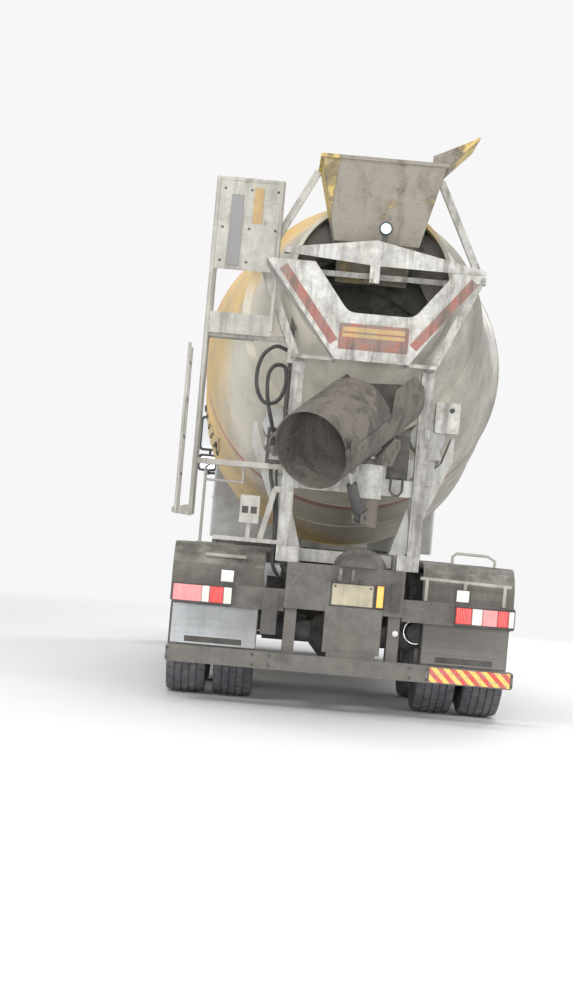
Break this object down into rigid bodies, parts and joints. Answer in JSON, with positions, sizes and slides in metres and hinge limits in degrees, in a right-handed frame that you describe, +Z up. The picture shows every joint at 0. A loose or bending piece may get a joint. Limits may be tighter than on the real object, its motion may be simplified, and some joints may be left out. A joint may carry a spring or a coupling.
{
  "type": "concrete mixer truck",
  "caption": "Cab-over concrete mixer truck with a tilted mixing drum on rollers, a charging hopper, a collector and a folding discharge chute at the rear.",
  "frame": {"origin": "on the ground under the middle of the whole truck", "axes": "+X to the right as seen from behind, +Y forward, +Z up"},
  "size_m": [2.8, 9.442, 4.1],
  "materials": {
    "frame_steel": "matt grey paint under cement dust",
    "white_paint": "dirty white paint",
    "drum_paint": "cream paint with a broad warm yellow band, dusty",
    "worn_steel": "bare steel coated with dry cement",
    "machined_steel": "satin",
    "cast_dark": "matt black paint, dusty",
    "tyre_rubber": "matt, dusty blue grey",
    "rim_paint": "silver paint, dusty",
    "cab_paint": "gloss white paint, lightly dusty",
    "cab_glass": "clear",
    "dark_plastic": "grained",
    "hopper_paint": "yellow paint under a grey cement coat",
    "tank_metal": "satin",
    "lamp_lens": "clear red",
    "fender_plastic": "dusty",
    "hose_rubber": "matt",
    "zinc_tube": "grey paint"
  },
  "bodies": {
    "chassis": {"chassis": "frame_steel", "mixer_frame": "white_paint", "rear_pedestal": "white_paint", "drum_drive": "cast_dark", "engine": "cast_dark", "front_axles": "cast_dark", "rear_axles": "cast_dark", "springs": "cast_dark", "bumper": "dark_plastic", "side_tanks": "tank_metal", "exhaust": "tank_metal", "water_tank": "white_paint", "side_guards": "tank_metal", "fenders": "fender_plastic", "underrun": "frame_steel", "lamps": "lamp_lens", "hopper": "hopper_paint", "collector": "white_paint", "platform": "zinc_tube", "control_box": "white_paint", "rear_fittings": "zinc_tube", "wash_hose": "hose_rubber"},
    "knuckle_1_left": {"knuckle_1_left": "cast_dark"},
    "knuckle_1_right": {"knuckle_1_right": "cast_dark"},
    "knuckle_2_left": {"knuckle_2_left": "cast_dark"},
    "knuckle_2_right": {"knuckle_2_right": "cast_dark"},
    "wheel_1_left": {"rim_1_left": "rim_paint", "tyre_1_left": "tyre_rubber"},
    "wheel_1_right": {"rim_1_right": "rim_paint", "tyre_1_right": "tyre_rubber"},
    "wheel_2_left": {"rim_2_left": "rim_paint", "tyre_2_left": "tyre_rubber"},
    "wheel_2_right": {"rim_2_right": "rim_paint", "tyre_2_right": "tyre_rubber"},
    "wheel_3_left": {"rim_3_left": "rim_paint", "tyre_3_left": "tyre_rubber"},
    "wheel_3_right": {"rim_3_right": "rim_paint", "tyre_3_right": "tyre_rubber"},
    "wheel_4_left": {"rim_4_left": "rim_paint", "tyre_4_left": "tyre_rubber"},
    "wheel_4_right": {"rim_4_right": "rim_paint", "tyre_4_right": "tyre_rubber"},
    "drum": {"drum_shell": "drum_paint", "drum_blades": "worn_steel"},
    "roller_left": {"roller_left": "machined_steel"},
    "roller_right": {"roller_right": "machined_steel"},
    "cab": {"cab_shell": "cab_paint", "cab_glass": "cab_glass", "cab_trim": "dark_plastic", "cab_interior": "dark_plastic"},
    "door_left": {"door_left": "cab_paint", "door_glass_left": "cab_glass"},
    "door_right": {"door_right": "cab_paint", "door_glass_right": "cab_glass"},
    "chute_arm": {"chute_arm": "worn_steel"},
    "chute_trough": {"chute_trough": "worn_steel"},
    "chute_extension": {"chute_extension": "worn_steel"},
    "lift_barrel": {"lift_barrel": "cast_dark"},
    "lift_rod": {"lift_rod": "machined_steel"},
    "ladder_fold": {"ladder_fold": "zinc_tube"}
  },
  "joints": [
    {"name": "steer_1_left", "type": "hinge", "parent": "chassis", "child": "knuckle_1_left", "pos_m": [-0.91, 3.32099, 0.53], "axis": [0, 0, 1], "range_deg": [-38, 38]},
    {"name": "steer_1_right", "type": "hinge", "parent": "chassis", "child": "knuckle_1_right", "pos_m": [0.91, 3.32099, 0.53], "axis": [0, 0, 1], "range_deg": [-38, 38]},
    {"name": "steer_2_left", "type": "hinge", "parent": "chassis", "child": "knuckle_2_left", "pos_m": [-0.91, 1.37099, 0.53], "axis": [0, 0, 1], "range_deg": [-24, 24]},
    {"name": "steer_2_right", "type": "hinge", "parent": "chassis", "child": "knuckle_2_right", "pos_m": [0.91, 1.37099, 0.53], "axis": [0, 0, 1], "range_deg": [-24, 24]},
    {"name": "wheel_1_left_spin", "type": "hinge", "parent": "knuckle_1_left", "child": "wheel_1_left", "pos_m": [-1, 3.32099, 0.53], "axis": [1, 0, 0], "continuous": true},
    {"name": "wheel_1_right_spin", "type": "hinge", "parent": "knuckle_1_right", "child": "wheel_1_right", "pos_m": [1, 3.32099, 0.53], "axis": [1, 0, 0], "continuous": true},
    {"name": "wheel_2_left_spin", "type": "hinge", "parent": "knuckle_2_left", "child": "wheel_2_left", "pos_m": [-1, 1.37099, 0.53], "axis": [1, 0, 0], "continuous": true},
    {"name": "wheel_2_right_spin", "type": "hinge", "parent": "knuckle_2_right", "child": "wheel_2_right", "pos_m": [1, 1.37099, 0.53], "axis": [1, 0, 0], "continuous": true},
    {"name": "wheel_3_left_spin", "type": "hinge", "parent": "chassis", "child": "wheel_3_left", "pos_m": [-1, -1.37901, 0.53], "axis": [1, 0, 0], "continuous": true},
    {"name": "wheel_3_right_spin", "type": "hinge", "parent": "chassis", "child": "wheel_3_right", "pos_m": [1, -1.37901, 0.53], "axis": [1, 0, 0], "continuous": true},
    {"name": "wheel_4_left_spin", "type": "hinge", "parent": "chassis", "child": "wheel_4_left", "pos_m": [-1, -2.72901, 0.53], "axis": [1, 0, 0], "continuous": true},
    {"name": "wheel_4_right_spin", "type": "hinge", "parent": "chassis", "child": "wheel_4_right", "pos_m": [1, -2.72901, 0.53], "axis": [1, 0, 0], "continuous": true},
    {"name": "drum_spin", "type": "hinge", "parent": "chassis", "child": "drum", "pos_m": [0, -2.62901, 2.92], "axis": [0, -0.9781, 0.2079], "continuous": true},
    {"name": "roller_left_spin", "type": "hinge", "parent": "chassis", "child": "roller_left", "pos_m": [-0.55657, -2.8142, 2.04876], "axis": [0, -0.9781, 0.2079], "continuous": true},
    {"name": "roller_right_spin", "type": "hinge", "parent": "chassis", "child": "roller_right", "pos_m": [0.55657, -2.8142, 2.04876], "axis": [0, -0.9781, 0.2079], "continuous": true},
    {"name": "cab_tilt", "type": "hinge", "parent": "chassis", "child": "cab", "pos_m": [0, 4.63099, 0.9], "axis": [-1, 0, 0], "range_deg": [0, 60]},
    {"name": "door_left_swing", "type": "hinge", "parent": "cab", "child": "door_left", "pos_m": [-1.166, 4.39099, 1.5], "axis": [0, 0, -1], "range_deg": [0, 70]},
    {"name": "door_right_swing", "type": "hinge", "parent": "cab", "child": "door_right", "pos_m": [1.166, 4.39099, 1.5], "axis": [0, 0, 1], "range_deg": [0, 70]},
    {"name": "chute_swing", "type": "hinge", "parent": "chassis", "child": "chute_arm", "pos_m": [0.1, -3.80901, 1.65], "axis": [0, 0, 1], "range_deg": [-45, 100]},
    {"name": "chute_tilt", "type": "hinge", "parent": "chute_arm", "child": "chute_trough", "pos_m": [0.17949, -3.68181, 1.935], "axis": [0.848, -0.5299, 0], "range_deg": [-10, 8]},
    {"name": "extension_fold", "type": "hinge", "parent": "chute_trough", "child": "chute_extension", "pos_m": [-0.35158, -4.5317, 1.80932], "axis": [0.848, -0.5299, 0], "range_deg": [0, 180]},
    {"name": "lift_barrel_pivot", "type": "hinge", "parent": "chute_arm", "child": "lift_barrel", "pos_m": [0.04171, -3.9023, 1.4], "axis": [0.848, -0.5299, 0], "range_deg": [-2.36, 1.89]},
    {"name": "lift_rod_slide", "type": "slide", "parent": "lift_barrel", "child": "lift_rod", "axis": [-0.2943, -0.471, 0.8316], "range_m": [-0.07494, 0.09367]},
    {"name": "ladder_fold_swing", "type": "hinge", "parent": "chassis", "child": "ladder_fold", "pos_m": [-1.265, -3.41901, 1.35], "axis": [0, -1, 0], "range_deg": [0, 180]}
  ],
  "couplings": [
    {"joint": "steer_1_right", "follows": "steer_1_left", "ratio": 1},
    {"joint": "steer_2_left", "follows": "steer_1_left", "ratio": 0.62},
    {"joint": "steer_2_right", "follows": "steer_1_left", "ratio": 0.62},
    {"joint": "roller_left_spin", "follows": "drum_spin", "ratio": -7.0769},
    {"joint": "roller_right_spin", "follows": "drum_spin", "ratio": -7.0769},
    {"joint": "lift_barrel_pivot", "follows": "chute_tilt", "ratio": 0.22478},
    {"joint": "lift_rod_slide", "follows": "chute_tilt", "m_per_rad": -0.51116}
  ]
}
